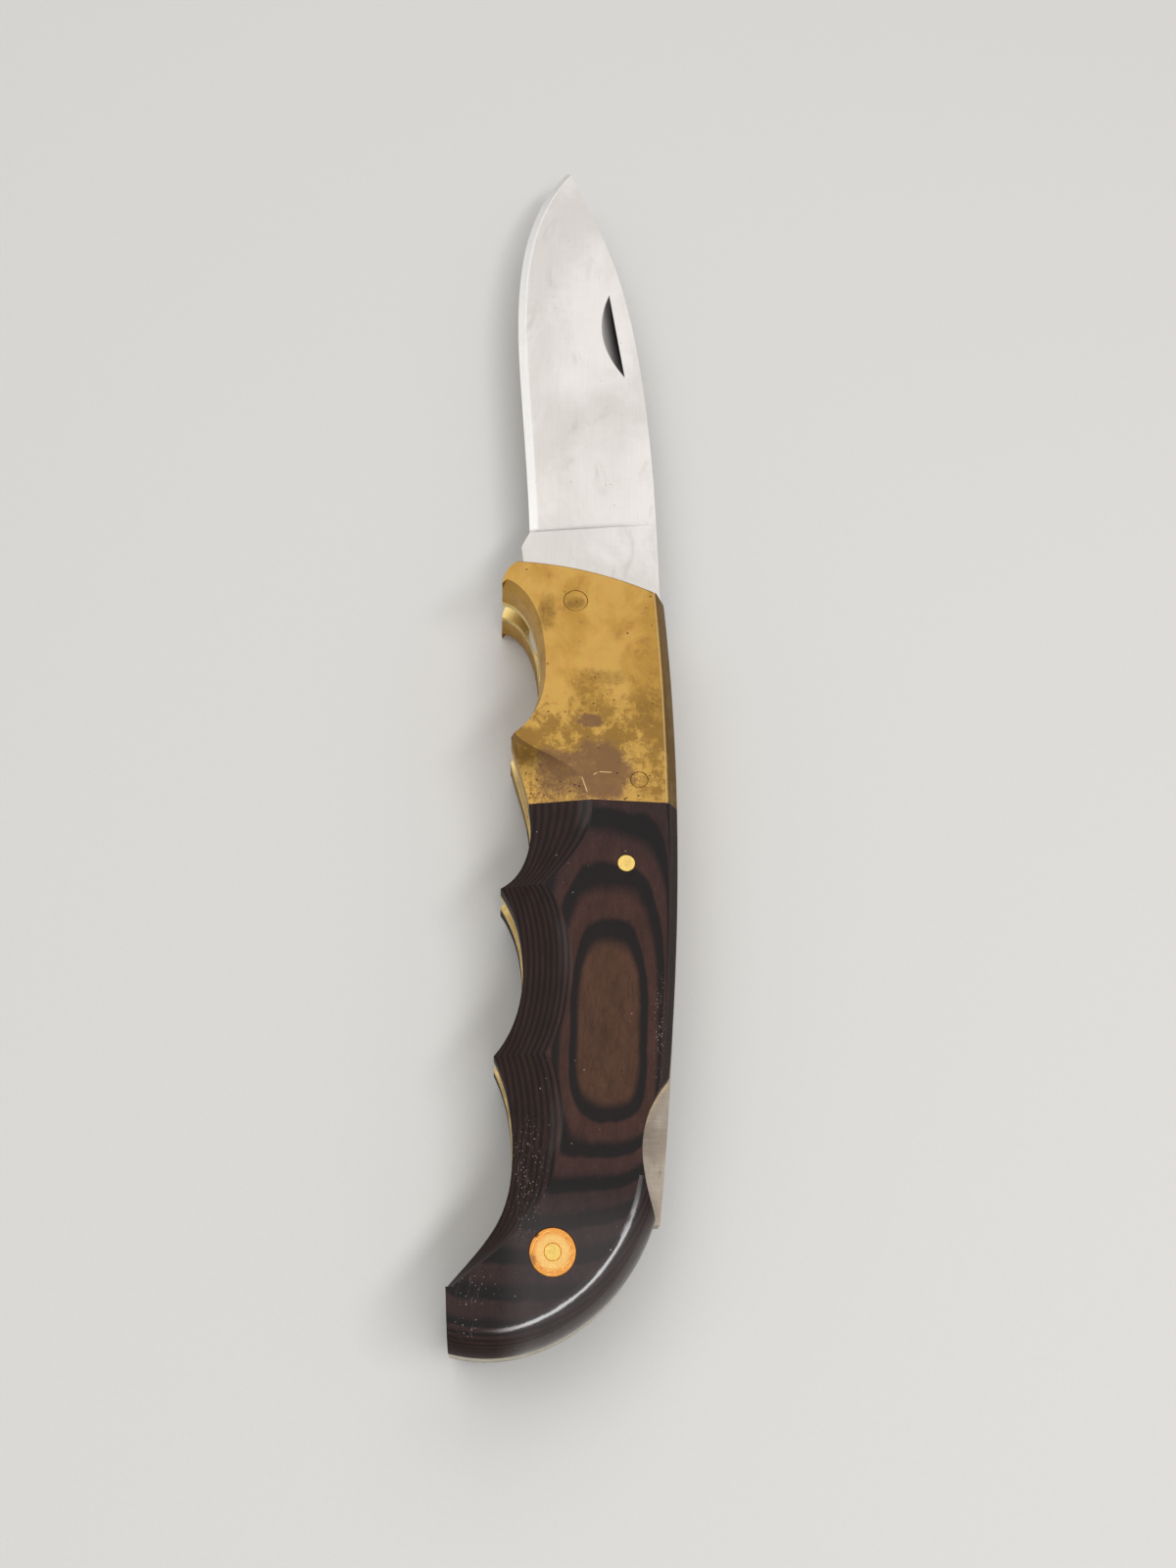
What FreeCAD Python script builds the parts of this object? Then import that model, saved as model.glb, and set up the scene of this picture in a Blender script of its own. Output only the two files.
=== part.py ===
"""Lock-back folding rigging knife: brass bolsters, laminated-wood scales, satin steel blade.

The knife lies on its pile side (the side away from the nail nick). The origin is on the
blade's pivot axis, in the plane of the lower bolster's flat face. +Y runs to the blade's
tip, +X to the spine, +Z out of the mark side. Lengths are in millimetres.

Every size is a cell of the "Sizes" sheet. The handle and the blade are drawn once, at the
drawn sizes below, and the drawing is stretched to the sheet's overall sizes.
"""
import FreeCAD, Part
import math
import os

import Sketcher
from FreeCAD import Placement, Rotation, Vector

# ---------------------------------------------------------------- driving dimensions

SIZES = {
    # overall
    "handle_rear": 100.1,        # pivot axis to the butt
    "handle_front": 6.3,         # pivot axis to the bolster's front corner
    "handle_height": 26.95,      # spine to the tip of the pommel hook
    "side_thickness": 5.0,       # bolster, and scale at its thickest
    "liner_thickness": 1.0,
    "blade_thickness": 3.0,
    "tip_room": 8.8,             # blade's tip to the butt when folded
    # pivot and tang
    "pivot_radius": 1.75,
    "washer_radius": 5.4,
    "washer_thickness": 0.12,
    "running_clearance": 0.03,   # round a pin that something turns on
    "side_clearance": 0.03,      # beside each face that slides
    "tang_radius": 6.4,
    "tooth_clearance": 0.12,     # lock tooth to the tang's rim
    "tooth_sweep": 59.0,         # degrees round the rim, from the X axis to the tooth's rear
    "notch_overrun": 3.0,        # degrees of notch past the tooth
    "heel_margin": 5.0,          # degrees from the folded heel to the tooth
    "notch_depth": 0.8,
    "step_behind": 3.45,         # pivot axis to the tang's stop face
    "step_gap": 0.15,
    "folded_gap": 0.7,           # folded edge to the lock bar's boss
    # blade grinds
    "edge_half_thickness": 0.28, # behind the sharpened bevel
    "bevel_slope": 4.2,          # across the bevel for each unit through it
    "edge_land": 0.02,           # half the flat left on the cutting edge
    "plunge_radius": 1.4,
    "nick_half_length": 8.5,
    "nick_depth": 0.8,
    "nick_width": 2.4,
    # lock bar and spring
    "bar_height": 6.0,
    "bar_boss_radius": 2.7,
    "bar_end_gap": 0.6,
    "bar_rise": 0.85,            # how far its rear end stands proud of the spine
    "contact_behind_pin": 7.4,   # lock pin to where the spring bears
    "lock_travel": 3.4,          # degrees
    "relief_margin": 0.8,        # degrees beyond the travel, under the bar's rear
    "spring_thickness": 1.4,
    "spring_eye_radius": 1.9,
    "spring_eye_inset": 4.2,     # in from the spacer's front face
    "spring_gap": 0.06,
    "spring_pocket_gap": 0.25,
    "blade_path_gap": 0.9,       # round the folded blade in the spacer
    # pins
    "lock_pin_radius": 1.22,
    "lock_pin_below": 1.0,       # its centre below the lock bar's underside
    "lock_pin_from_joint": 8.9,
    "rivet_radius": 1.22,
    "rivet_inset": 5.3,
    "rivet_from_joint": 3.2,
    "butt_pin_radius": 1.05,
    "butt_pin_from_butt": 11.5,
    "escutcheon_radius": 2.8,
    "escutcheon_thickness": 1.6,
    "spring_pin_radius": 0.9,
    "pin_bevel": 0.12,           # round each visible pin end
    # outside form
    "bolster_rear": 30.8,        # pivot axis to the joint with the scales
    "facet_drop": 2.5,           # depth of the sloped finger facets at the wall
    "groove_drop": 1.6,          # the same at the bolster's own groove
    "spine_bevel_width": 1.4,
    "spine_bevel_depth": 2.2,
    "spine_softening": 0.5,
    "butt_round": 3.8,
    "butt_land": 0.2,            # least wall left under the butt's round
    "front_round": 0.4,
    "length_crown_radius": 900.0,
    "crown_start": 60.0,         # pivot axis to where the scale starts to fall away
}

STACK = {
    "slot": "=blade_thickness + 2 * (washer_thickness + side_clearance)",
    "thickness": "=2 * (side_thickness + liner_thickness) + slot",
    "sliding_thickness": "=slot - 2 * side_clearance",
}

doc = FreeCAD.newDocument("rigging_knife")
sheet = doc.addObject("Spreadsheet::Sheet", "Sizes")
for row, (alias, content) in enumerate({**SIZES, **STACK}.items(), start=1):
    sheet.set(f"A{row}", alias)
    sheet.set(f"B{row}", str(content))
    sheet.setAlias(f"B{row}", alias)
doc.recompute()


def size(alias):
    """The sheet's value of one size."""
    return float(sheet.get(alias))


# ---------------------------------------------------------------- levels and stretch

SLOT = size("slot")
SIDE = size("side_thickness")
LINER = size("liner_thickness")
THICKNESS = size("thickness")
MIDDLE = THICKNESS / 2

DRAWN_REAR, DRAWN_FRONT, DRAWN_HEIGHT = 100.1, 6.3, 26.95
DRAWN_HEEL, DRAWN_TIP = 15.5, 91.3
ACROSS = size("handle_height") / DRAWN_HEIGHT
REAR = size("handle_rear") / DRAWN_REAR
FRONT = size("handle_front") / DRAWN_FRONT
BLADE_REACH = size("handle_rear") - size("tip_room")
JOINT = -size("bolster_rear")
EDGE_STRETCH = (BLADE_REACH - DRAWN_HEEL) / (DRAWN_TIP - DRAWN_HEEL)
FAR = 60.0                       # beyond any edge of the knife


def on_handle(x, y, z=0.0):
    """A point of the handle's drawing, stretched to the sheet's sizes."""
    return Vector(x * ACROSS, y * (FRONT if y > 0 else REAR), z)


def on_blade(x, y, z=0.0):
    """A point of the blade's drawing; what lies past the heel stretches with the reach."""
    past = max(0.0, y - DRAWN_HEEL)
    return Vector(x * ACROSS, min(y, DRAWN_HEEL) + past * EDGE_STRETCH, z)


def arc(start, middle, end):
    return Part.Arc(start, middle, end)


def line(start, end):
    return Part.LineSegment(start, end)


def tangent_arc(before, end):
    """An arc that carries on smoothly from the end of another."""
    earlier = before.toShape()
    start = earlier.valueAt(earlier.LastParameter)
    heading = earlier.tangentAt(earlier.LastParameter)
    chord = end - start
    side = chord - heading * chord.dot(heading)
    radius = chord.Length**2 / (2 * side.Length)
    centre = start + side.normalize() * radius
    halfway = centre + ((start - centre) + (end - centre)).normalize() * radius
    return arc(start, halfway, end)


def spline(points):
    curve = Part.BSplineCurve()
    curve.interpolate(points)
    return curve


def wire(curves):
    return Part.Wire([curve.toShape() for curve in curves])


def prism(curves, bottom, top):
    """A solid between two levels on a closed outline drawn at level 0."""
    face = Part.Face(wire(curves))
    face.translate(Vector(0, 0, bottom))
    return face.extrude(Vector(0, 0, top - bottom))


# ---------------------------------------------------------------- the handle's outline

SPINE_FRONT, SPINE_TOP, SPINE_REAR = (12.8, 1.2), (14.8, -41.0), (12.2, -84.3)
FRONT_CORNER, FRONT_MIDDLE, NOSE_TOP = (11.2, 2.2), (0.9, 5.4), (-8.3, 6.3)
NOSE_BULGE, NOSE_END = (-9.8, 4.7), (-10.5, 2.3)
BUTT_MIDDLE, BUTT_END = (7.5, -92.9), (0.6, -98.2)
HOOK_END, HOOK_TIP = (-11.5, -99.7), (-12.15, -92.8)

# The belly's finger grooves, from the nose to the pommel hook. Each has the line of its
# wall, and the line where its sloped facet runs out on the side face.
GROOVE_WALLS = [
    [NOSE_END, (-8.4, 1.3), (-6.35, -1.6), (-4.9, -6.6), (-4.45, -12.0), (-5.3, -17.6), (-8.05, -21.4)],
    [(-8.05, -21.4), (-6.9, -25.2), (-5.1, -31.6), (-5.0, -37.4), (-6.4, -41.2), (-8.4, -43.1)],
    [(-8.4, -43.1), (-6.4, -46.8), (-5.2, -51.5), (-5.0, -56.6), (-5.9, -61.2), (-8.1, -65.3)],
    [(-8.1, -65.3), (-6.4, -69.4), (-5.2, -77.0), (-6.2, -84.4), (-9.2, -89.2), HOOK_TIP],
]
FACET_LIMITS = [
    [
        (-9.9, 3.0), (-8.0, 1.9), (-5.75, -1.3), (-4.25, -6.5), (-3.8, -12.0), (-4.75, -17.4),
        (-7.65, -21.4),
    ],
    [(-7.65, -21.4), (-2.2, -24.8), (3.0, -30.6), (1.9, -37.0), (-0.9, -41.0), (-2.9, -43.1)],
    [(-2.9, -43.1), (-0.3, -46.8), (1.0, -51.5), (1.2, -56.6), (0.3, -61.2), (-1.6, -65.3)],
    [(-1.6, -65.3), (0.4, -69.4), (0.8, -77.0), (-2.0, -84.4), (-6.6, -89.2), (-11.15, -92.8)],
]
RELEASE_CUT = [(13.95, -66.9), (11.6, -70.7), (10.35, -75.3), (10.65, -79.4), (12.2, -84.0)]


def spine_arc():
    return arc(on_handle(*SPINE_FRONT), on_handle(*SPINE_TOP), on_handle(*SPINE_REAR))


def spine_x(y):
    """Where the spine's circle is, across the handle, at a distance along it."""
    circle = spine_arc().toShape().Curve
    return circle.Center.x + math.sqrt(circle.Radius**2 - (y - circle.Center.y) ** 2)


def front_arc():
    return arc(on_handle(*NOSE_TOP), on_handle(*FRONT_MIDDLE), on_handle(*FRONT_CORNER))


def butt_arcs():
    """Round the butt: a tight corner from the spine, then the flatter end to the hook."""
    corner = arc(on_handle(*SPINE_REAR), on_handle(*BUTT_MIDDLE), on_handle(*BUTT_END))
    return [corner, tangent_arc(corner, on_handle(*HOOK_END))]


def handle_outline():
    curves = [
        front_arc(),
        line(on_handle(*FRONT_CORNER), on_handle(*SPINE_FRONT)),
        spine_arc(),
        *butt_arcs(),
        line(on_handle(*HOOK_END), on_handle(*HOOK_TIP)),
    ]
    for wall in reversed(GROOVE_WALLS):
        curves.append(spline([on_handle(*p) for p in reversed(wall)]))
    curves.append(arc(on_handle(*NOSE_END), on_handle(*NOSE_BULGE), on_handle(*NOSE_TOP)))
    return curves


def release_outline():
    """The cut in the spine that lets a thumb press the lock bar."""
    cut = [on_handle(*p) for p in RELEASE_CUT]
    start, end = cut[0], cut[-1]
    outer_start, outer_end = Vector(FAR, start.y, 0), Vector(FAR, end.y, 0)
    return [spline(cut), line(end, outer_end), line(outer_end, outer_start), line(outer_start, start)]


# ---------------------------------------------------------------- places of the pins

PIVOT = Vector(0, 0, 0)
LOCK_PIN_Y = JOINT - size("lock_pin_from_joint")
LOCK_PIN = Vector(
    spine_x(LOCK_PIN_Y) - size("bar_height") - size("lock_pin_below"), LOCK_PIN_Y, 0
)
RIVET_Y = JOINT + size("rivet_from_joint")
RIVET = Vector(spine_x(RIVET_Y) - size("rivet_inset"), RIVET_Y, 0)
BUTT_PIN = Vector(0, -(size("handle_rear") - size("butt_pin_from_butt")), 0)
SPACER_FRONT = on_handle(*SPINE_REAR).y - size("bar_end_gap")
SPRING_EYE = Vector(
    spine_x(SPACER_FRONT) - size("bar_height"), SPACER_FRONT - size("spring_eye_inset"), 0
)


# ---------------------------------------------------------------- document helpers

def origin_plane(body, role):
    return next(f for f in body.Origin.OriginFeatures if f.Role == role)


def sketch_of(body, name, curves):
    made = body.newObject("Sketcher::SketchObject", name)
    made.AttachmentSupport = [(origin_plane(body, "XY_Plane"), "")]
    made.MapMode = "FlatFace"
    made.addGeometry(curves, False)
    return made


def pocket_through(body, name, curves):
    """Cuts curves right through a body whose pad rises from its XY plane."""
    cut = body.newObject("PartDesign::Pocket", name)
    cut.Profile = sketch_of(body, name + "_outline", curves)
    cut.Type = "ThroughAll"
    cut.Reversed = True
    return cut


def pin_hole(body, name, centre, radius_expression):
    """A round hole whose radius follows the sheet."""
    hole = sketch_of(body, name + "_circle", [Part.Circle(centre, Vector(0, 0, 1), 1.0)])
    number = hole.addConstraint(Sketcher.Constraint("Radius", 0, 1.0))
    hole.renameConstraint(number, "hole_radius")
    hole.addConstraint(Sketcher.Constraint("DistanceX", 0, 3, centre.x))
    hole.addConstraint(Sketcher.Constraint("DistanceY", 0, 3, centre.y))
    hole.setExpression("Constraints.hole_radius", radius_expression)
    cut = body.newObject("PartDesign::Pocket", name)
    cut.Profile = hole
    cut.Type = "ThroughAll"
    cut.Reversed = True
    return cut


def plate_body(label, curves, thickness_expression, level_expression):
    """A flat body padded up from the level where its lower face lies."""
    body = doc.addObject("PartDesign::Body", label)
    body.Label = label
    pad = body.newObject("PartDesign::Pad", label + "_pad")
    pad.Profile = sketch_of(body, label + "_outline", curves)
    pad.setExpression("Length", thickness_expression)
    body.setExpression("Placement.Base.z", level_expression)
    return body


def cylinder(name, centre, radius, height, level):
    made = doc.addObject("Part::Cylinder", name)
    made.setExpression("Radius", radius)
    made.setExpression("Height", height)
    made.Placement.Base = centre
    made.setExpression("Placement.Base.z", level)
    return made


def cone(name, centre, lower_radius, upper_radius, height, level):
    made = doc.addObject("Part::Cone", name)
    made.setExpression("Radius1", lower_radius)
    made.setExpression("Radius2", upper_radius)
    made.setExpression("Height", height)
    made.Placement.Base = centre
    made.setExpression("Placement.Base.z", level)
    return made


def bevelled_pin(label, centre, radius, length, level, lower_bevel=True, upper_bevel=True):
    """A pin whose visible ends have a small bevel; sizes are sheet expressions."""
    bevel = "Sizes.pin_bevel"
    lower = bevel if lower_bevel else "0"
    upper = bevel if upper_bevel else "0"
    parts = [cylinder(label + "_shank", centre, radius, f"{length} - {lower} - {upper}", f"{level} + {lower}")]
    if lower_bevel:
        parts.append(cone(label + "_foot", centre, f"{radius} - {bevel}", radius, bevel, level))
    if upper_bevel:
        top = f"{level} + {length} - {bevel}"
        parts.append(cone(label + "_head", centre, radius, f"{radius} - {bevel}", bevel, top))
    made = doc.addObject("Part::MultiFuse", label)
    made.Shapes = parts
    made.Refine = True
    made.Label = label
    return made


def common_cut(shape, cutters):
    for cutter in cutters:
        shape = shape.cut(cutter)
    return shape.removeSplitter()


def shaped(label, shape):
    """A sub-part whose shape is worked out here from the sheet's sizes."""
    made = doc.addObject("Part::Feature", label)
    made.Shape = shape
    made.Placement = Placement()
    made.Label = label
    return made


def block(corner, opposite):
    low = Vector(*(min(a, b) for a, b in zip(corner, opposite)))
    high = Vector(*(max(a, b) for a, b in zip(corner, opposite)))
    return Part.makeBox(high.x - low.x, high.y - low.y, high.z - low.z, low)


def loft(sections, ruled=False):
    """A solid through closed polygons, each given by its corners."""
    return Part.makeLoft([Part.makePolygon(corners + corners[:1]) for corners in sections], True, ruled)


def other_side(shape):
    return shape.mirror(Vector(0, 0, MIDDLE), Vector(0, 0, 1))


# ---------------------------------------------------------------- scales and bolsters

def turned_cutter(curve, section, before=0.0, after=0.0):
    """A section carried round an arc of the outline, and past its ends by some degrees.

    The section is a function of the arc's radius that gives a closed profile in the XZ plane.
    """
    edge = curve.toShape()
    centre, radius = edge.Curve.Center, edge.Curve.Radius
    first = edge.valueAt(edge.FirstParameter) - centre
    last = edge.valueAt(edge.LastParameter) - centre
    way = 1 if first.cross(last).z > 0 else -1
    start = math.degrees(math.atan2(first.y, first.x)) - way * before
    turn = math.degrees(first.getAngle(last)) + before + after
    face = Part.Face(wire(section(radius)))
    face.rotate(Vector(0, 0, 0), Vector(0, 0, 1), start)
    ring = face.revolve(Vector(0, 0, 0), Vector(0, 0, way), turn)
    ring.translate(Vector(centre.x, centre.y, 0))
    return ring


def closed_above(inner, outer):
    """Lines that close a section over the side's top, from its inner end to its outer one."""
    top = THICKNESS + SIDE
    inner_top, outer_top = Vector(inner.x, 0, top), Vector(outer.x + SIDE, 0, top)
    outer_low = Vector(outer_top.x, 0, outer.z)
    return [line(inner, inner_top), line(inner_top, outer_top), line(outer_top, outer_low), line(outer_low, outer)]


def bevel_section(radius):
    """The long bevel on the spine, with both of its corners softened."""
    width, depth, soft = size("spine_bevel_width"), size("spine_bevel_depth"), size("spine_softening")
    low, high = Vector(radius, 0, THICKNESS - depth), Vector(radius - width, 0, THICKNESS)
    slope = (high - low).normalize()
    start, end = low - Vector(0, 0, soft), high - Vector(soft, 0, 0)
    low_corner, high_corner = Part.BezierCurve(), Part.BezierCurve()
    low_corner.setPoles([start, low, low + slope * soft])
    high_corner.setPoles([high - slope * soft, high, end])
    return [low_corner, line(low + slope * soft, high - slope * soft), high_corner, *closed_above(end, start)]


def round_section(round_radius):
    """A quarter round on the top edge of the outline."""
    def section(radius):
        centre = Vector(radius - round_radius, 0, THICKNESS - round_radius)
        start, end = centre + Vector(round_radius, 0, 0), centre + Vector(0, 0, round_radius)
        middle = centre + Vector(1, 0, 1).normalize() * round_radius
        return [arc(start, middle, end), *closed_above(end, start)]
    return section


def fallen(cutter, curve):
    """A cutter sheared down so that its top lies along the crowned face at the curve's middle."""
    edge = curve.toShape()
    y = (edge.valueAt(edge.FirstParameter).y + edge.valueAt(edge.LastParameter).y) / 2
    slope = (crown_drop(y - 1) - crown_drop(y + 1)) / 2
    shear = FreeCAD.Matrix()
    shear.A32 = slope
    shear.A34 = -crown_drop(y) - slope * y
    return cutter.transformGeometry(shear)


def butt_rounds():
    room = SIDE - crown_drop(-size("handle_rear")) - size("butt_land")
    section = round_section(min(size("butt_round"), room))
    corner, flat = butt_arcs()
    rounds = [turned_cutter(corner, section, before=12), turned_cutter(flat, section, after=4)]
    return [fallen(rounds[0], corner), fallen(rounds[1], flat)]


def facet_cutter(wall, limit, drop):
    """The wedge that slopes from the limit, on the side face, down to the groove's wall."""
    sections = []
    for (wall_x, wall_y), (limit_x, limit_y) in zip(wall, limit):
        low = on_handle(wall_x, wall_y, THICKNESS - drop)
        high = on_handle(limit_x, limit_y, THICKNESS)
        outward = (low - high) * 0.5
        rise = (high - low) * 0.2
        lift = Vector(0, 0, SIDE)
        sections.append([low + outward, high + rise, high + rise + lift, low + outward + lift])
    return loft(sections)


def facet_cutters():
    drops = [size("groove_drop")] + [size("facet_drop")] * 3
    return [facet_cutter(*parts) for parts in zip(GROOVE_WALLS, FACET_LIMITS, drops)]


def crown_drop(y):
    """How far the scale's face has fallen away at a distance along the handle."""
    past = max(0.0, -size("crown_start") - y)
    radius = size("length_crown_radius")
    return radius - math.sqrt(radius**2 - past**2)


def crown_cutter():
    """What lies above the scale's face where it falls away towards the butt."""
    start, end = -size("crown_start"), -size("handle_rear") - SIDE
    middle = (start + end) / 2
    stations = [Vector(-FAR, y, THICKNESS - crown_drop(y)) for y in (start, middle, end)]
    above = Vector(0, 0, SIDE)
    curves = [
        arc(*stations), line(stations[2], stations[2] + above),
        line(stations[2] + above, stations[0] + above), line(stations[0] + above, stations[0]),
    ]
    return Part.Face(wire(curves)).extrude(Vector(2 * FAR, 0, 0))


PIVOT_HOLE = Part.makeCylinder(size("pivot_radius"), 2 * FAR, PIVOT - Vector(0, 0, FAR))
LOCK_PIN_HOLE = Part.makeCylinder(size("lock_pin_radius"), 2 * FAR, LOCK_PIN - Vector(0, 0, FAR))
RIVET_HOLE = Part.makeCylinder(size("rivet_radius"), 2 * FAR, RIVET - Vector(0, 0, FAR))
BUTT_PIN_HOLE = Part.makeCylinder(size("butt_pin_radius"), 2 * FAR, BUTT_PIN - Vector(0, 0, FAR))
ESCUTCHEON_TOP = THICKNESS - crown_drop(BUTT_PIN.y)
ESCUTCHEON_FLOOR = ESCUTCHEON_TOP - size("escutcheon_thickness")


def side_blank():
    return prism(handle_outline(), THICKNESS - SIDE, THICKNESS)


def bolster():
    behind = block((-FAR, JOINT, -FAR), (FAR, -2 * size("handle_rear"), FAR))
    front = turned_cutter(front_arc(), round_section(size("front_round")), before=2, after=2)
    cutters = [behind, front, turned_cutter(spine_arc(), bevel_section, 2, 2), *facet_cutters()[:2]]
    return common_cut(side_blank(), cutters + [PIVOT_HOLE, RIVET_HOLE])


def scale():
    ahead = block((-FAR, JOINT, -FAR), (FAR, FAR, FAR))
    release = prism(release_outline(), 0, THICKNESS)
    seat = Part.makeCylinder(
        size("escutcheon_radius"), FAR, Vector(BUTT_PIN.x, BUTT_PIN.y, ESCUTCHEON_FLOOR)
    )
    cutters = [ahead, *butt_rounds(), crown_cutter(), turned_cutter(spine_arc(), bevel_section, 2, 2)]
    cutters += [*facet_cutters()[1:], release, LOCK_PIN_HOLE, BUTT_PIN_HOLE, seat]
    return common_cut(side_blank(), cutters)


mark_bolster = bolster()
shaped("bolster_mark_side", mark_bolster)
shaped("bolster_pile_side", other_side(mark_bolster))
mark_scale = scale()
shaped("scale_mark_side", mark_scale)
shaped("scale_pile_side", other_side(mark_scale))

# ---------------------------------------------------------------- liners and their pins

LINER_LEVELS = {
    "liner_pile_side": "Sizes.side_thickness",
    "liner_mark_side": "Sizes.thickness - Sizes.side_thickness - Sizes.liner_thickness",
}
for label, level in LINER_LEVELS.items():
    liner = plate_body(label, handle_outline(), "Sizes.liner_thickness", level)
    pocket_through(liner, label + "_release", release_outline())
    pin_hole(liner, label + "_pivot", PIVOT, "Sizes.pivot_radius")
    pin_hole(liner, label + "_lock_pin", LOCK_PIN, "Sizes.lock_pin_radius")
    pin_hole(liner, label + "_rivet", RIVET, "Sizes.rivet_radius")
    pin_hole(liner, label + "_butt_pin", BUTT_PIN, "Sizes.butt_pin_radius")
    pin_hole(liner, label + "_spring_pin", SPRING_EYE, "Sizes.spring_pin_radius")

bevelled_pin("pivot_pin", PIVOT, "Sizes.pivot_radius", "Sizes.thickness", "0")
bevelled_pin("lock_bar_pin", LOCK_PIN, "Sizes.lock_pin_radius", "Sizes.thickness", "0")
rivet_length = "(Sizes.side_thickness + Sizes.liner_thickness)"
bevelled_pin("bolster_rivet_pile_side", RIVET, "Sizes.rivet_radius", rivet_length, "0", upper_bevel=False)
bevelled_pin(
    "bolster_rivet_mark_side", RIVET, "Sizes.rivet_radius", rivet_length,
    f"Sizes.thickness - {rivet_length}", lower_bevel=False,
)
butt_pin_foot = THICKNESS - ESCUTCHEON_TOP
bevelled_pin(
    "butt_pin", BUTT_PIN, "Sizes.butt_pin_radius", f"Sizes.thickness - 2 * {butt_pin_foot}", f"{butt_pin_foot}"
)
spring_pin = cylinder(
    "spring_pin", SPRING_EYE, "Sizes.spring_pin_radius", "Sizes.thickness - 2 * Sizes.side_thickness",
    "Sizes.side_thickness",
)
spring_pin.Label = "spring_pin"

ESCUTCHEON_LEVELS = {
    "butt_escutcheon_mark_side": f"{ESCUTCHEON_FLOOR}",
    "butt_escutcheon_pile_side": f"{THICKNESS - ESCUTCHEON_TOP}",
}
for label, level in ESCUTCHEON_LEVELS.items():
    is_mark_side = label.endswith("mark_side")
    disc = bevelled_pin(
        label + "_disc", BUTT_PIN, "Sizes.escutcheon_radius", "Sizes.escutcheon_thickness", level,
        lower_bevel=not is_mark_side, upper_bevel=is_mark_side,
    )
    hole = cylinder(label + "_hole", BUTT_PIN, "Sizes.butt_pin_radius", "Sizes.escutcheon_thickness", level)
    ring = doc.addObject("Part::Cut", label)
    ring.Base = disc
    ring.Tool = hole
    ring.Label = label

WASHER_LEVELS = {
    "pivot_washer_pile_side": "Sizes.side_thickness + Sizes.liner_thickness",
    "pivot_washer_mark_side": (
        "Sizes.thickness - Sizes.side_thickness - Sizes.liner_thickness - Sizes.washer_thickness"
    ),
}
for label, level in WASHER_LEVELS.items():
    disc = cylinder(label + "_disc", PIVOT, "Sizes.washer_radius", "Sizes.washer_thickness", level)
    hole = cylinder(label + "_hole", PIVOT, "Sizes.pivot_radius", "Sizes.washer_thickness", level)
    washer = doc.addObject("Part::Cut", label)
    washer.Base = disc
    washer.Tool = hole
    washer.Label = label

# ---------------------------------------------------------------- blade

BLADE_BOTTOM = SIDE + LINER + size("washer_thickness") + size("side_clearance")
BLADE_TOP = BLADE_BOTTOM + size("blade_thickness")
EDGE = [
    (-7.0, 15.5), (-7.9, 26.5), (-9.4, 41.5), (-10.55, 54.5), (-10.75, 66.0), (-9.4, 78.0), (-6.95, 85.7),
    (-3.8, 91.3),
]
BACK = [(12.5, 6.5), (11.5, 25.0), (8.85, 50.0), (4.4, 70.5), (0.75, 80.9), (-3.4, 91.1)]
CHOIL = [(-7.6, 14.2), (-8.15, 12.75), (-7.8, 10.7)]
PLUNGE_LEAN = 0.14               # the plunge runs forward towards the back


def edge_curve():
    return spline([on_blade(*p) for p in EDGE])


def back_curve():
    return spline([on_blade(*p) for p in BACK])


def rim_point(angle, radius):
    turn = math.radians(angle)
    return Vector(radius * math.cos(turn), radius * math.sin(turn), 0)


def direction(point):
    """The direction of a point from the pivot, in degrees from 0 to 360."""
    return math.degrees(math.atan2(point.y, point.x)) % 360


def folded_angle():
    """How far the blade turns until its edge is the folded gap away from the lock bar's boss."""
    reach = LOCK_PIN.Length
    level_with_boss = Part.Circle(PIVOT, Vector(0, 0, 1), reach).toShape()
    edge_point = edge_curve().toShape().distToShape(level_with_boss)[1][0][0]
    room = math.degrees((size("bar_boss_radius") + size("folded_gap")) / reach)
    return direction(LOCK_PIN) - direction(edge_point) - room


def blade_outline():
    """Round the tang's rim, into the notch, up the stop face, along the back and the edge."""
    rim, notch = size("tang_radius"), size("tang_radius") - size("notch_depth")
    behind = size("step_behind")
    rim_start = 360 - size("tooth_sweep") - folded_angle() - size("heel_margin")
    rim_end = 360 - size("tooth_sweep") - size("notch_overrun")
    notch_end = 360 - math.degrees(math.asin(behind / notch))
    heel = rim_point(rim_start, rim)
    choil = [on_blade(*p) for p in CHOIL]
    belly = Vector(choil[-1].x + 0.3, heel.y + 1.2, 0)
    stop_foot = rim_point(notch_end, notch)
    stop_top = Vector(spine_x(-behind), -behind, 0)
    back_start = on_blade(*BACK[0])
    edge_start, tip, back_end = on_blade(*EDGE[0]), on_blade(*EDGE[-1]), on_blade(*BACK[-1])
    return [
        arc(heel, rim_point((rim_start + rim_end) / 2, rim), rim_point(rim_end, rim)),
        line(rim_point(rim_end, rim), rim_point(rim_end, notch)),
        arc(rim_point(rim_end, notch), rim_point((rim_end + notch_end) / 2, notch), stop_foot),
        line(stop_foot, stop_top),
        line(stop_top, back_start),
        back_curve(),
        line(back_end, tip),
        spline([on_blade(*p) for p in reversed(EDGE)]),
        arc(edge_start, choil[0], choil[1]),
        line(choil[1], choil[2]),
        line(choil[2], belly),
        line(belly, heel),
    ]


def curve_x(curve, y):
    level = line(Vector(-FAR, y, 0), Vector(FAR, y, 0))
    return curve.toShape().distToShape(level.toShape())[1][0][0].x


def blade_level():
    return (BLADE_BOTTOM + BLADE_TOP) / 2


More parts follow.
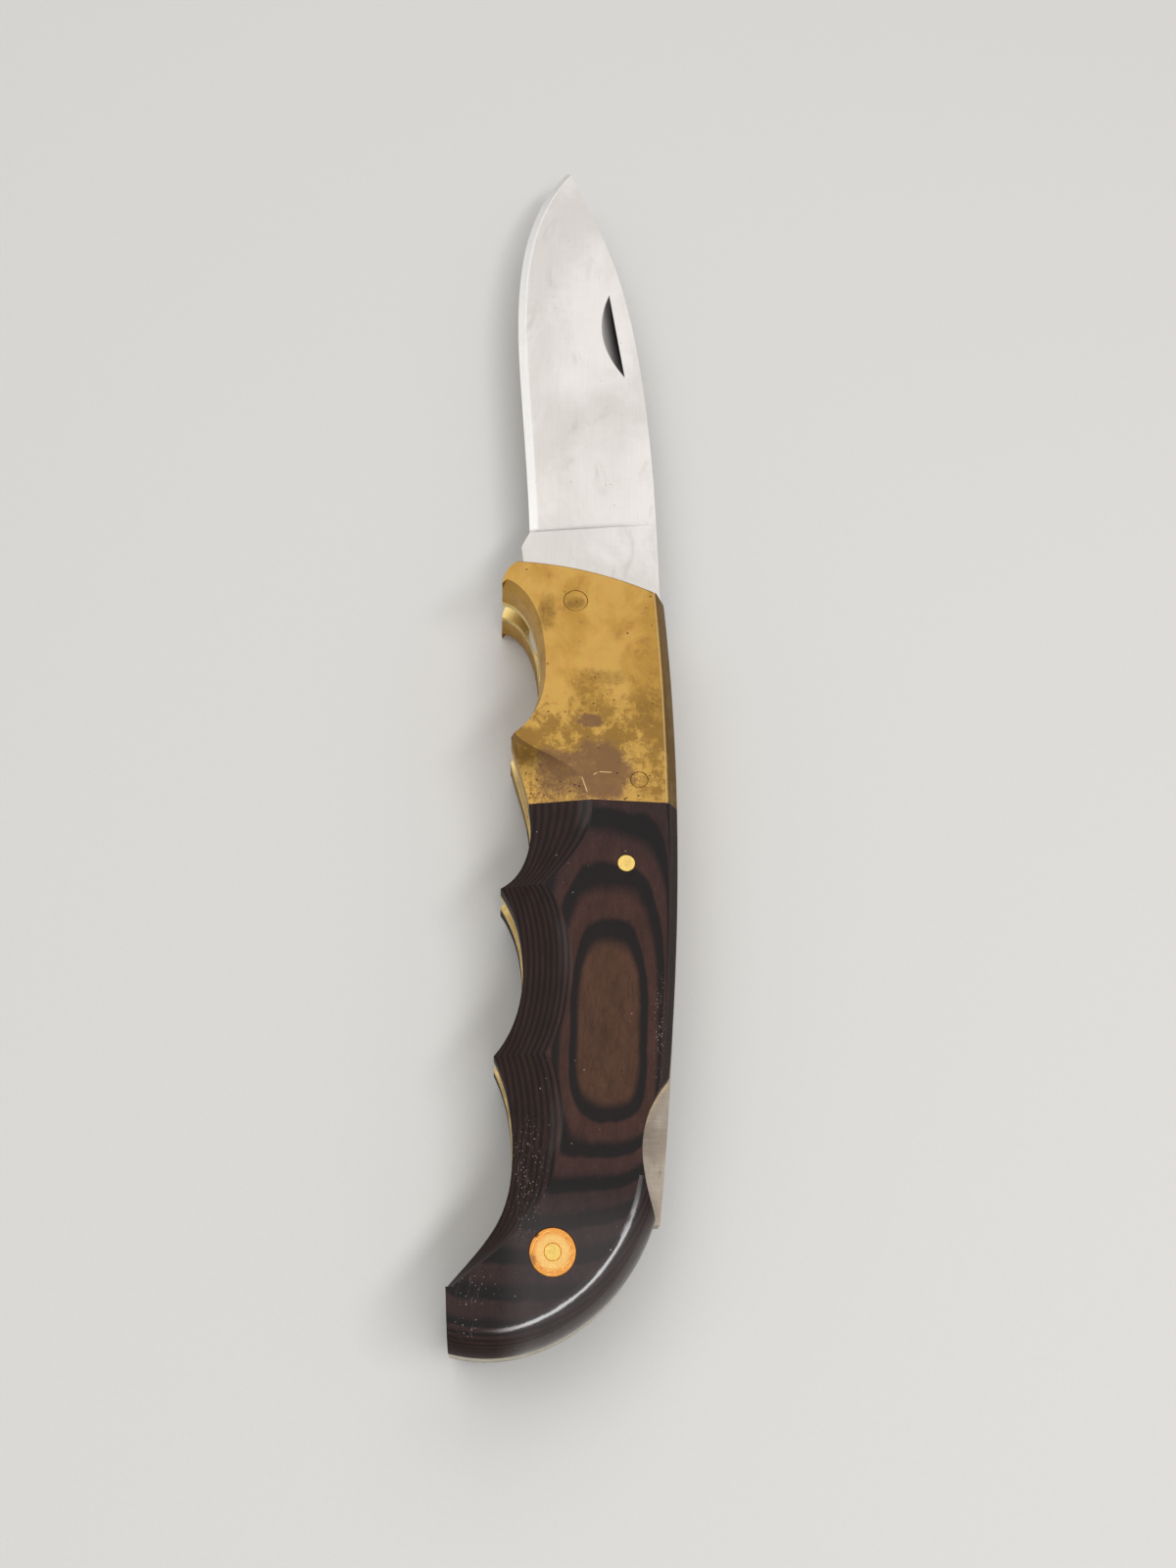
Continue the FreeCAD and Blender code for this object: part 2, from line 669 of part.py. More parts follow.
def grind_height(from_edge):
    """Height of the ground face above the blade's middle plane, at a distance from the edge."""
    half, shoulder = size("blade_thickness") / 2, size("edge_half_thickness")
    bevel_width = (shoulder - size("edge_land")) * size("bevel_slope")
    heel_width = curve_x(back_curve(), DRAWN_HEEL) - curve_x(edge_curve(), DRAWN_HEEL)
    slope = (half - shoulder) / (heel_width - bevel_width)
    if from_edge < bevel_width:
        return size("edge_land") + from_edge / size("bevel_slope")
    return shoulder + (from_edge - bevel_width) * slope


def grind_cutter():
    """What grinding takes off the mark side: the wide flat grind and the sharpened bevel."""
    half = size("blade_thickness") / 2
    bevel_width = (size("edge_half_thickness") - size("edge_land")) * size("bevel_slope")
    heel_width = curve_x(back_curve(), DRAWN_HEEL) - curve_x(edge_curve(), DRAWN_HEEL)
    past = 3.0

    def section(y, depth):
        """One cut across the blade; depth 1 is the whole grind, 0 only grazes the face."""
        edge = curve_x(edge_curve(), y)
        back = curve_x(back_curve(), y + PLUNGE_LEAN * heel_width)
        placed = []
        for from_edge in (-past, bevel_width, back + past - edge):
            lowered = half - (half - grind_height(from_edge)) * depth
            placed.append(Vector(edge + from_edge, y + PLUNGE_LEAN * from_edge, blade_level() + lowered))
        lift = Vector(0, 0, 2 * half)
        return placed + [placed[2] + lift, placed[0] + lift]

    radius = size("plunge_radius")
    steps = 6
    ramp = []
    for step in range(steps + 1):
        turn = step / steps * math.pi / 2
        ramp.append(section(DRAWN_HEEL + radius * (1 - math.cos(turn)), max(0.01, math.sin(turn))))
    start = DRAWN_HEEL + radius
    reach = BLADE_REACH - start
    stations = [start + reach * share for share in (0, 0.2, 0.4, 0.6, 0.75, 0.87, 0.95, 1.0)]
    return [loft(ramp, ruled=True), loft([section(y, 1) for y in stations])]


def nail_nick():
    """The crescent that a fingernail pulls: a coned wheel's cut, straight towards the back."""
    half_length, depth, width = size("nick_half_length"), size("nick_depth"), size("nick_width")
    wheel = (half_length**2 + depth**2) / (2 * depth)
    front, rear = on_blade(3.9, 63.1), on_blade(6.65, 46.4)
    middle = (front + rear) / 2
    face = blade_level() + grind_height(middle.x - curve_x(edge_curve(), middle.y))
    towards_edge = Vector(0, 0, 1).cross((front - rear).normalize())
    reach = 4.0
    coned = Part.makeCone(wheel, wheel - depth * reach / width, reach)
    coned.Placement = Placement(
        Vector(middle.x, middle.y, face + wheel - depth), Rotation(Vector(0, 0, 1), towards_edge)
    )
    return coned


def blade():
    grinds = grind_cutter()
    cutters = grinds + [other_side(cut) for cut in grinds] + [nail_nick()]
    bore = Part.makeCylinder(
        size("pivot_radius") + size("running_clearance"), 2 * FAR, PIVOT - Vector(0, 0, FAR)
    )
    return common_cut(prism(blade_outline(), BLADE_BOTTOM, BLADE_TOP), cutters + [bore])


shaped("blade", blade())

# ---------------------------------------------------------------- lock bar and spring

BAR_FRONT = -(size("step_behind") + size("step_gap"))
BAR_REAR = on_handle(*SPINE_REAR).y
CONTACT = LOCK_PIN.y - size("contact_behind_pin")
BAR_LEVEL = "Sizes.side_thickness + Sizes.liner_thickness + Sizes.side_clearance"
BAR_THICKNESS = "Sizes.sliding_thickness"


def along_spine(start, end, depth):
    """An arc that runs beside the spine, at a depth below it."""
    places = (start, (start + end) / 2, end)
    return arc(*[Vector(spine_x(y) - depth, y, 0) for y in places])


def lock_bar_back():
    """The bar's outer edge: flush with the spine at the front, and proud of it at the rear."""
    rise, middle = size("bar_rise"), (BAR_FRONT + BAR_REAR) / 2
    heights = ((BAR_FRONT, 0), (middle, rise / 8), (BAR_REAR, rise))
    return arc(*[Vector(spine_x(y) + up, y, 0) for y, up in heights])


def lock_bar_outline():
    height = size("bar_height")
    rim = size("tang_radius") + size("tooth_clearance")
    rear_turn = -size("tooth_sweep")
    front_turn = -math.degrees(math.asin(-BAR_FRONT / rim))
    tooth_rear_foot, tooth_front_foot = rim_point(rear_turn, rim), rim_point(front_turn, rim)
    tooth_rear = tooth_rear_foot.y

    def relieved(y):
        relief = math.tan(math.radians(size("lock_travel") + size("relief_margin"))) * (CONTACT - y)
        return Vector(spine_x(y) - height + relief, y, 0)

    front_top = Vector(spine_x(BAR_FRONT), BAR_FRONT, 0)
    rear_top = Vector(spine_x(BAR_REAR) + size("bar_rise"), BAR_REAR, 0)
    rear_foot, contact = relieved(BAR_REAR), relieved(CONTACT)
    tooth_top = Vector(spine_x(tooth_rear) - height, tooth_rear, 0)
    return [
        lock_bar_back(),
        line(rear_top, rear_foot),
        arc(rear_foot, relieved((BAR_REAR + CONTACT) / 2), contact),
        along_spine(CONTACT, tooth_rear, height),
        line(tooth_top, tooth_rear_foot),
        arc(tooth_rear_foot, rim_point((rear_turn + front_turn) / 2, rim), tooth_front_foot),
        line(tooth_front_foot, front_top),
    ]


def padded_disc(body, name, centre, radius_expression, thickness_expression):
    pad = body.newObject("PartDesign::Pad", name)
    disc = sketch_of(body, name + "_circle", [Part.Circle(centre, Vector(0, 0, 1), 1.0)])
    number = disc.addConstraint(Sketcher.Constraint("Radius", 0, 1.0))
    disc.renameConstraint(number, "disc_radius")
    disc.addConstraint(Sketcher.Constraint("DistanceX", 0, 3, centre.x))
    disc.addConstraint(Sketcher.Constraint("DistanceY", 0, 3, centre.y))
    disc.setExpression("Constraints.disc_radius", radius_expression)
    pad.Profile = disc
    pad.setExpression("Length", thickness_expression)
    return pad


lock_bar = plate_body("lock_bar", lock_bar_outline(), BAR_THICKNESS, BAR_LEVEL)
padded_disc(lock_bar, "lock_bar_boss", LOCK_PIN, "Sizes.bar_boss_radius", BAR_THICKNESS)
pin_hole(lock_bar, "lock_bar_bore", LOCK_PIN, "Sizes.lock_pin_radius + Sizes.running_clearance")


def spring_outline():
    outer = size("bar_height") + size("spring_gap")
    inner = outer + size("spring_thickness")
    end = SPRING_EYE.y
    inner_end = Vector(spine_x(CONTACT) - inner, CONTACT, 0)
    return [
        along_spine(CONTACT, end, outer),
        line(Vector(spine_x(end) - outer, end, 0), Vector(spine_x(end) - inner, end, 0)),
        along_spine(end, CONTACT, inner),
        line(inner_end, Vector(spine_x(CONTACT) - outer, CONTACT, 0)),
    ]


lock_spring = plate_body("lock_spring", spring_outline(), BAR_THICKNESS, BAR_LEVEL)
padded_disc(lock_spring, "lock_spring_eye", SPRING_EYE, "Sizes.spring_eye_radius", BAR_THICKNESS)
pin_hole(lock_spring, "lock_spring_bore", SPRING_EYE, "Sizes.spring_pin_radius + Sizes.running_clearance")

# ---------------------------------------------------------------- butt spacer

def folded_path():
    """The room that the blade needs between the liners at the butt: its edge and its tip's sweep."""
    gap = size("blade_path_gap")
    tip = on_blade(*EDGE[-1])
    reach = Vector(0, tip.Length, 0)
    edge_side = [on_blade(*p) - Vector(gap, 0, 0) for p in EDGE[-4:]]
    near, beyond = edge_side[0] + Vector(FAR, 0, 0), edge_side[-1] + reach
    lines = [line(edge_side[-1], beyond), line(beyond, near + reach * 2), line(near + reach * 2, near)]
    open_region = wire([spline(edge_side), *lines, line(near, edge_side[0])])
    region = Part.Face(open_region)
    region.rotate(Vector(0, 0, 0), Vector(0, 0, 1), folded_angle())
    region.translate(Vector(0, 0, -FAR))
    sweep = Part.makeCylinder(tip.Length + gap, 2 * FAR, Vector(0, 0, -FAR))
    return region.extrude(Vector(0, 0, 2 * FAR)).common(sweep)


def butt_spacer():
    bottom = SIDE + LINER
    plate = prism(handle_outline(), bottom, bottom + SLOT)
    ahead = block((-FAR, SPACER_FRONT, -FAR), (FAR, FAR, FAR))
    gap = size("spring_pocket_gap")
    eye = Part.makeCylinder(size("spring_eye_radius") + gap, 2 * FAR, SPRING_EYE - Vector(0, 0, FAR))
    outer = spine_x(SPACER_FRONT) - size("bar_height") - size("spring_gap")
    leaf = block(
        (outer - size("spring_thickness") - 3 * gap, SPRING_EYE.y, -FAR), (outer + gap, SPACER_FRONT + 1, FAR)
    )
    return common_cut(plate, [ahead, folded_path(), eye, leaf, BUTT_PIN_HOLE])


shaped("butt_spacer", butt_spacer())

# ---------------------------------------------------------------- check and write

NODES = [
    "blade", "bolster_mark_side", "bolster_pile_side", "bolster_rivet_mark_side",
    "bolster_rivet_pile_side", "butt_escutcheon_mark_side", "butt_escutcheon_pile_side", "butt_pin",
    "butt_spacer", "liner_mark_side", "liner_pile_side", "lock_bar", "lock_bar_pin", "lock_spring",
    "pivot_pin", "pivot_washer_mark_side", "pivot_washer_pile_side", "scale_mark_side",
    "scale_pile_side", "spring_pin",
]

doc.recompute()
for item in doc.Objects:
    assert not {"Invalid", "Error"} & set(item.State), f"{item.Label} failed"

os.makedirs("parts", exist_ok=True)
for node in NODES:
    made = doc.getObjectsByLabel(node)[0]
    shape = made.Shape
    assert not shape.isNull() and shape.isValid(), f"{node} has no valid shape"
    assert len(shape.Solids) == 1, f"{node} is {len(shape.Solids)} solids"
    shape.exportStep(f"parts/{node}.step")
    print(f"{node}: {shape.Volume:.1f} mm3")
print(f"lock bar pin {LOCK_PIN}, spring eye {SPRING_EYE}, folded at {folded_angle():.2f} degrees")
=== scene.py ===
import bpy
import math
from mathutils import Matrix, Vector


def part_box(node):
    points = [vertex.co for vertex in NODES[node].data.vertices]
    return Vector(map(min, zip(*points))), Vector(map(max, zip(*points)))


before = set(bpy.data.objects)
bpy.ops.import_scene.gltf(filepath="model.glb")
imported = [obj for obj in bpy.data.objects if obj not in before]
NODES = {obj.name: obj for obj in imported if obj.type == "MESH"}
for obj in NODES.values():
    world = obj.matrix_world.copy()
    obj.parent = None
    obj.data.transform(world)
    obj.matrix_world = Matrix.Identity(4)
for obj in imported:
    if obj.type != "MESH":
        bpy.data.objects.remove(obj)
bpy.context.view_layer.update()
MM = 0.001
MATERIAL_SHIFT = 7.3  # moves one material's noise away from the next one's
NOISE_SHIFT = 3.7     # moves each noise of a material away from the last


# ---------------------------------------------------------------- shader values and finishes

class Value:
    """A shader value that takes part in plain arithmetic."""

    def __init__(self, finish, socket):
        self.finish = finish
        self.socket = socket

    def maths(self, operation, first, second=0.0):
        return self.finish.node("ShaderNodeMath", {"operation": operation}, {0: first, 1: second})

    def __add__(self, other):
        return self.maths("ADD", self, other)

    def __radd__(self, other):
        return self.maths("ADD", other, self)

    def __sub__(self, other):
        return self.maths("SUBTRACT", self, other)

    def __rsub__(self, other):
        return self.maths("SUBTRACT", other, self)

    def __mul__(self, other):
        return self.maths("MULTIPLY", self, other)

    def __rmul__(self, other):
        return self.maths("MULTIPLY", other, self)

    def __truediv__(self, other):
        return self.maths("DIVIDE", self, other)

    def __pow__(self, other):
        return self.maths("POWER", self, other)

    def __abs__(self):
        return self.maths("ABSOLUTE", self)

    def floor(self):
        return self.maths("FLOOR", self)

    def least(self, other):
        return self.maths("MINIMUM", self, other)

    def most(self, other):
        return self.maths("MAXIMUM", self, other)


class Finish:
    """One material: its surface shader, and the nodes that vary over it. Places are in millimetres."""

    def __init__(self, name, **surface):
        self.material = bpy.data.materials.new(name)
        self.material.use_nodes = True
        self.tree = self.material.node_tree
        self.shader = self.tree.nodes["Principled BSDF"]
        for socket, value in surface.items():
            self.set(socket.replace("_", " "), value)
        self.seed = len(bpy.data.materials) * MATERIAL_SHIFT
        self.place = self.stretched((1, 1, 1), 0.0)
        apart = self.node("ShaderNodeSeparateXYZ", sockets={"Vector": self.place})
        outputs = apart.socket.node.outputs
        self.x, self.y, self.z = (Value(self, outputs[axis]) for axis in "XYZ")

    def link(self, value, socket):
        if isinstance(value, Value):
            self.tree.links.new(value.socket, socket)
        else:
            socket.default_value = value

    def set(self, socket, value):
        self.link(value, self.shader.inputs[socket])

    def node(self, kind, settings=None, sockets=None, output=0):
        """A node with its settings made first, then its sockets' values or links."""
        node = self.tree.nodes.new(kind)
        for name, setting in (settings or {}).items():
            setattr(node, name, setting)
        for name, value in (sockets or {}).items():
            self.link(value, node.inputs[name])
        return Value(self, node.outputs[output])

    def stretched(self, size, shift):
        """The place on the piece, measured in features of a size given along each axis."""
        here = self.node("ShaderNodeTexCoord", output="Object")
        scale = tuple(1 / (MM * along) for along in size)
        moved = (shift, shift, shift)
        return self.node("ShaderNodeVectorMath", {"operation": "MULTIPLY_ADD"}, {0: here, 1: scale, 2: moved})

    def grain(self, size, detail=2.0, roughness=0.5, distortion=0.0):
        """Soft noise from 0 to 1, with features of a size given along each axis."""
        self.seed += NOISE_SHIFT
        return self.node("ShaderNodeTexNoise", sockets={
            "Vector": self.stretched(size, self.seed), "Scale": 1.0, "Detail": detail,
            "Roughness": roughness, "Distortion": distortion,
        })

    def specks(self, size, radius):
        """Small round specks, one in each cell of the size given, 1 inside and 0 outside."""
        self.seed += NOISE_SHIFT
        distance = self.node("ShaderNodeTexVoronoi", sockets={
            "Vector": self.stretched(size, self.seed), "Scale": 1.0, "Randomness": 1.0,
        })
        return self.between(distance, radius, radius * 0.4)

    def between(self, value, start, end):
        """Rises smoothly from 0 at start to 1 at end."""
        return self.node(
            "ShaderNodeMapRange", {"interpolation_type": "SMOOTHSTEP"},
            {"Value": value, "From Min": start, "From Max": end},
        )

    def band(self, value, middle, half, soft):
        """1 within half of the middle, and 0 beyond the soft edge."""
        return self.between(abs(value - middle), half + soft, half)

    def spot(self, x, y, across, along, ragged=0.0, size=3.0, soft=0.5):
        """A round or oval spot, 1 in the middle and 0 outside, with a ragged edge."""
        distance = (((self.x - x) / across) ** 2.0 + ((self.y - y) / along) ** 2.0) ** 0.5
        if ragged:
            distance = distance + (self.grain((size, size, size), 5.0, 0.6) - 0.5) * (2 * ragged)
        return self.between(distance, 1 + soft, 1 - soft)

    def stroke(self, start, end, half, soft):
        """A thin straight stroke between two places seen from above."""
        run = Vector(end) - Vector(start)
        length = run.length
        along = run / length
        reach = (self.x - start[0]) * along.x + (self.y - start[1]) * along.y
        aside = (self.x - start[0]) * along.y - (self.y - start[1]) * along.x
        inside = self.band(reach, length / 2, length / 2, soft * 3)
        return inside * self.band(aside, 0.0, half, soft)

    def blend(self, amount, first, second):
        """The first colour where amount is 0, the second where it is 1."""
        return self.node(
            "ShaderNodeMix", {"data_type": "RGBA"}, {0: amount, 6: first, 7: second}, 2
        )

    def tinted(self, colour, light):
        """The colour made lighter or darker by a value about 1."""
        grey = self.node("ShaderNodeCombineXYZ", sockets={0: light, 1: light, 2: light})
        return self.node(
            "ShaderNodeMix", {"data_type": "RGBA", "blend_type": "MULTIPLY"}, {0: 1.0, 6: colour, 7: grey}, 2
        )

    def relief(self, height, depth, before=None):
        """Bumps the surface by a height from 0 to 1, over a depth in millimetres."""
        sockets = {"Height": height, "Distance": depth * MM, "Strength": 1.0}
        if before:
            sockets["Normal"] = before
        return self.node("ShaderNodeBump", sockets=sockets)

    def cover(self, *names):
        for name in names:
            slots = NODES[name].material_slots
            for slot in slots:
                slot.material = self.material
            if not slots:
                NODES[name].data.materials.append(self.material)


def rgb(red, green, blue):
    return (red, green, blue, 1.0)


# ---------------------------------------------------------------- steel

MIDDLE = sum(corner.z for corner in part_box("blade")) / 2 / MM
GRIND_EDGE = 0.29     # half the blade's thickness where its sharpened bevel starts


def nail_nick_shade(steel):
    """Painted shade inside the nail nick: a bow beside a straight line, painted darkest along the line, where
    the nick is deepest.
    """
    front, rear = Vector((3.9, 63.1)), Vector((6.65, 46.4))
    half_length, width = 8.6, 2.3
    run = (rear - front).normalized()
    middle = (front + rear) / 2
    reach = ((steel.x - middle.x) * run.x + (steel.y - middle.y) * run.y) / half_length
    aside = ((steel.x - middle.x) * run.y - (steel.y - middle.y) * run.x) / width
    bow = 1 - reach ** 2.0 - aside
    inside = steel.between(bow, -0.02, 0.06) * steel.between(aside, -0.06, 0.0)
    shade = 0.95 - steel.between(aside, 0.2, 0.9) * 0.35
    return inside * shade * steel.between(steel.z, MIDDLE, MIDDLE + 0.2)


def blade_steel():
    """Satin steel with faint grey clouds, ground across at the bevel and along the flats."""
    steel = Finish("blade_steel", Metallic=1.0, Specular_IOR_Level=0.5)
    height = abs(steel.z - MIDDLE)
    bevel = steel.between(height, GRIND_EDGE + 0.02, GRIND_EDGE - 0.02)
    clouds = steel.grain((14, 20, 14), 5.0, 0.62, 0.4)
    stains = steel.between(steel.grain((5, 9, 5), 6.0, 0.66, 0.8), 0.55, 0.78)
    lines = steel.grain((0.16, 9, 0.16), 3.0, 0.6)
    cross = steel.grain((7, 0.10, 7), 3.0, 0.6)
    scratches = steel.between(steel.grain((0.12, 5, 0.12), 2.0, 0.5, 0.3), 0.70, 0.76)
    pits = steel.specks((2.6, 2.6, 2.6), 0.05)
    smear = steel.spot(2.0, 30.0, 7.0, 14.0, 0.5, 6.0, 0.5)
    ground = steel.blend(steel.between(clouds, 0.36, 0.66), rgb(0.62, 0.585, 0.555), rgb(0.74, 0.705, 0.675))
    ground = steel.blend(stains * 0.35 + smear * 0.10, ground, rgb(0.40, 0.37, 0.335))
    ground = steel.blend(scratches * 0.25, ground, rgb(0.80, 0.78, 0.75))
    ground = steel.blend(pits * 0.6, ground, rgb(0.16, 0.14, 0.12))
    ground = steel.blend(bevel * 0.7, ground, rgb(0.80, 0.79, 0.77))
    # Painted shade: the nail nick's recess is painted near black, as if in shadow.
    nick = nail_nick_shade(steel)
    ground = steel.blend(nick, ground, rgb(0.035, 0.03, 0.03))
    steel.set("Base Color", steel.tinted(ground, 0.86 + lines * 0.16 + cross * 0.12))
    steel.set("Roughness", 0.42 + clouds * 0.12 + lines * 0.08 + stains * 0.06 - bevel * 0.10)
    along = steel.relief(lines, 0.006)
    across = steel.relief(cross, 0.004, along)
    steel.set("Normal", steel.relief(1 - pits, 0.02, across))
    steel.cover("blade")


def back_steel(name, light, dark, worn):
    """The steel along the back: dull, with fine cross marks and a few brown stains."""
    steel = Finish(name, Metallic=1.0)
    clouds = steel.grain((5, 7, 5), 5.0, 0.6)
    cross = steel.grain((4, 0.16, 3), 3.0, 0.62)
    lines = steel.grain((0.2, 6, 0.2), 2.0, 0.5)
    rust = steel.between(steel.grain((1.8, 2.4, 1.8), 6.0, 0.68), 0.56, 0.74)
    ground = steel.blend(steel.between(clouds, 0.35, 0.68), dark, light)
    ground = steel.blend(rust * worn, ground, rgb(0.21, 0.155, 0.105))
    steel.set("Base Color", steel.tinted(ground, 0.70 + cross * 0.46 + lines * 0.14))
    steel.set("Roughness", 0.34 + clouds * 0.14 + rust * 0.2)
    marks = steel.relief(cross, 0.012)
    steel.set("Normal", steel.relief(rust, 0.010, marks))
    return steel


def back_pieces():
    """The lock bar, and the spacer that shows round the butt."""
    bar = back_steel("lock_bar_steel", rgb(0.53, 0.455, 0.375), rgb(0.36, 0.30, 0.24), 0.55)
    bar.cover("lock_bar")
    spacer = back_steel("butt_steel", rgb(0.62, 0.57, 0.47), rgb(0.44, 0.40, 0.31), 0.35)
    spacer.cover("butt_spacer")


def spring_steel():
    """Blued spring steel, brushed along the leaf."""
    steel = Finish("spring_steel", Metallic=1.0)
    clouds = steel.grain((3, 9, 3), 4.0, 0.6)
    lines = steel.grain((0.14, 6, 0.14), 3.0, 0.6)
    colour = steel.blend(clouds, rgb(0.20, 0.21, 0.25), rgb(0.42, 0.41, 0.42))
    steel.set("Base Color", steel.tinted(colour, 0.85 + lines * 0.25))
    steel.set("Roughness", 0.30 + lines * 0.16)
    steel.set("Normal", steel.relief(lines, 0.006))
    steel.cover("lock_spring")


def pin_steel():
    """A ground steel pin with rings from its turning."""
    steel = Finish("pin_steel", Metallic=1.0)
    rings = steel.grain((9, 9, 0.12), 2.0, 0.5)
    spots = steel.between(steel.grain((0.6, 0.6, 0.6), 4.0, 0.6), 0.56, 0.7)
    colour = steel.blend(spots, rgb(0.50, 0.49, 0.47), rgb(0.28, 0.24, 0.20))
    steel.set("Base Color", colour)
    steel.set("Roughness", 0.28 + rings * 0.16 + spots * 0.15)
    steel.set("Normal", steel.relief(rings, 0.006))
    steel.cover("spring_pin")


# ---------------------------------------------------------------- brass

GOLD = rgb(0.43, 0.243, 0.054)
PALE_GOLD = rgb(0.535, 0.325, 0.085)
OLIVE = rgb(0.245, 0.140, 0.038)
BROWN = rgb(0.25, 0.140, 0.072)
COPPER = rgb(0.55, 0.27, 0.085)
BLACKENED = rgb(0.07, 0.045, 0.020)
SPINE_CREST, SPINE_BOW = (14.8, -41.0), 890.0
# A stain's ragged edge, feature size and softness, then its gain, then where the grit lets it start and end.
SMEAR = (0.55, 2.0, 0.60), 0.70, (0.15, 0.80)
PATINA = (0.50, 2.6, 0.40), 0.80, (0.18, 0.74)


def stain(brass, place, kind, grit):
    """How far one stain covers the brass: a ragged spot broken up by the metal's grit."""
    x, y, across, along, strength = place
    edge, gain, span = kind
    area = brass.spot(x, y, across, along, *edge) * strength
    return brass.between(area * gain + grit * 0.7, *span)


def edge_highlight_and_scratches(brass, inset, marks):
    """A painted highlight along the spine bevel's edge, and bright metal in a few small scratches."""
    bright = brass.band(inset, 1.62, 0.05, 0.14) * 0.6
    for start, end in marks:
        bright = bright.most(brass.stroke(start, end, 0.035, 0.07))
    return bright


def bolster_brass(name, patina, smears, marks):
    """Worn brass: brushed along, with brown patina, olive clouds, dark pits and small pale scratches, a
    painted dark reflection on the spine bevel and a painted highlight along its edge.
    """
    brass = Finish(name, Metallic=1.0)
    lines = brass.grain((0.13, 7, 0.13), 3.0, 0.6)
    broad = brass.grain((7, 9, 7), 4.0, 0.6, 0.3)
    mottle = brass.grain((1.3, 1.5, 1.3), 7.0, 0.72)
    fine = brass.grain((0.35, 0.4, 0.35), 5.0, 0.7)
    grit = (mottle - 0.5) * 0.9 + (fine - 0.5) * 1.1
    rear = brass.between(brass.y, -9.0, -20.0)
    clouds = brass.between(broad * 0.50 + mottle * 0.50 + (fine - 0.5) * 0.25 + rear * 0.10, 0.535, 0.63)
    pits = brass.specks((1.1, 1.1, 1.1), 0.17)
    pits = pits * brass.between(brass.grain((4, 3, 4), 3.0, 0.5) + rear * 0.10, 0.54, 0.66)
    colour = brass.blend(brass.between(broad, 0.40, 0.62), PALE_GOLD, GOLD)
    colour = brass.blend(brass.between(mottle, 0.46, 0.70) * 0.50, colour, COPPER)
    colour = brass.blend(clouds * (0.30 + rear * 0.45), colour, OLIVE)
    dull = clouds * 0.35
    for place in smears:
        smear = stain(brass, place, SMEAR, grit)
        colour = brass.blend(smear * 0.80, colour, OLIVE)
        dull = dull.most(smear * 0.8)
    for place in patina:
        tarnish = stain(brass, place, PATINA, grit)
        colour = brass.blend(tarnish * 0.88, colour, BROWN)
        dull = dull.most(tarnish)
    inset = SPINE_CREST[0] - (brass.y - SPINE_CREST[1]) ** 2.0 / SPINE_BOW - brass.x
    # Painted dark reflection: the spine bevel is painted dark olive, as if it mirrored dark surroundings.
    bevel = brass.between(inset, 1.55, 1.15)
    colour = brass.blend(bevel * (0.70 + mottle * 0.25), colour, rgb(0.15, 0.085, 0.022))
    # Painted highlight along the spine bevel's edge, together with the real pale scratches.
    colour = brass.blend(edge_highlight_and_scratches(brass, inset, marks) * 0.6, colour, rgb(0.90, 0.68, 0.36))
    colour = brass.blend(pits * 0.85, colour, BLACKENED)
    brass.set("Base Color", brass.tinted(colour, 0.86 + lines * 0.16 + fine * 0.12))
    brass.set("Roughness", 0.38 + lines * 0.10 + dull * 0.20 + mottle * 0.08)
    brushed = brass.relief(lines, 0.006)
    worn = brass.relief(mottle * 0.7 + fine * 0.3, 0.020, brushed)
    brass.set("Normal", brass.relief(1 - pits, 0.05, worn))
    return brass


def bolsters():
    """Both bolsters and what is set flush in them. Each stain has its place, its reach and its strength."""
    upper = bolster_brass(
        "bolster_brass_upper",
        patina=[
            (4.4, -26.4, 4.3, 4.6, 1.0), (-1.8, -26.4, 3.2, 3.4, 0.80), (2.6, -19.0, 1.9, 1.2, 1.0),
            (1.6, -29.6, 7.5, 1.6, 0.6),
        ],
        smears=[
            (-4.0, -2.2, 1.3, 3.6, 0.80), (-0.2, -0.5, 1.5, 1.2, 0.80), (4.4, -12.2, 4.6, 1.5, 0.65),
            (11.0, -16.8, 2.6, 3.2, 0.65), (1.2, -15.4, 1.2, 2.8, 0.5), (10.4, -11.0, 2.8, 1.6, 0.45),
            (-5.6, -25.0, 1.4, 3.4, 0.5), (8.2, -22.4, 2.2, 1.8, 0.35),
        ],
        marks=[((4.1, -26.7), (5.5, -26.7)), ((3.3, -27.1), (3.6, -26.9)), ((1.7, -27.7), (2.4, -29.6))],
    )
    upper.cover("bolster_mark_side", "bolster_rivet_mark_side", "pivot_pin")
    lower = bolster_brass(
        "bolster_brass_lower",
        patina=[(4.0, -25.0, 4.6, 4.0, 0.8), (-2.4, -17.0, 2.4, 3.4, 0.7), (7.4, -4.0, 2.6, 1.8, 0.5)],
        smears=[(6.8, -12.0, 3.8, 3.4, 0.6), (-4.0, -4.4, 1.6, 3.4, 0.7), (1.0, -30.4, 6.0, 1.4, 0.6)],
        marks=[((5.2, -9.4), (6.9, -10.8)), ((-1.6, -23.0), (0.4, -23.6))],
    )
    lower.cover("bolster_pile_side", "bolster_rivet_pile_side")


def liner_brass():
    """The thin brass liners: dull and brushed along."""
    brass = Finish("liner_brass", Metallic=1.0)
    lines = brass.grain((0.16, 8, 0.16), 3.0, 0.6)
    tarnish = brass.between(brass.grain((2.5, 4, 1.2), 6.0, 0.66), 0.46, 0.68)
    colour = brass.blend(tarnish * 0.75, rgb(0.80, 0.60, 0.24), rgb(0.33, 0.24, 0.10))
    colour = brass.blend(brass.between(brass.y, -83.0, -90.0) * 0.75, colour, rgb(0.58, 0.54, 0.41))
    brass.set("Base Color", brass.tinted(colour, 0.86 + lines * 0.22))
    brass.set("Roughness", 0.34 + tarnish * 0.2 + lines * 0.08)
    brass.set("Normal", brass.relief(lines, 0.008))
    brass.cover("liner_mark_side", "liner_pile_side")


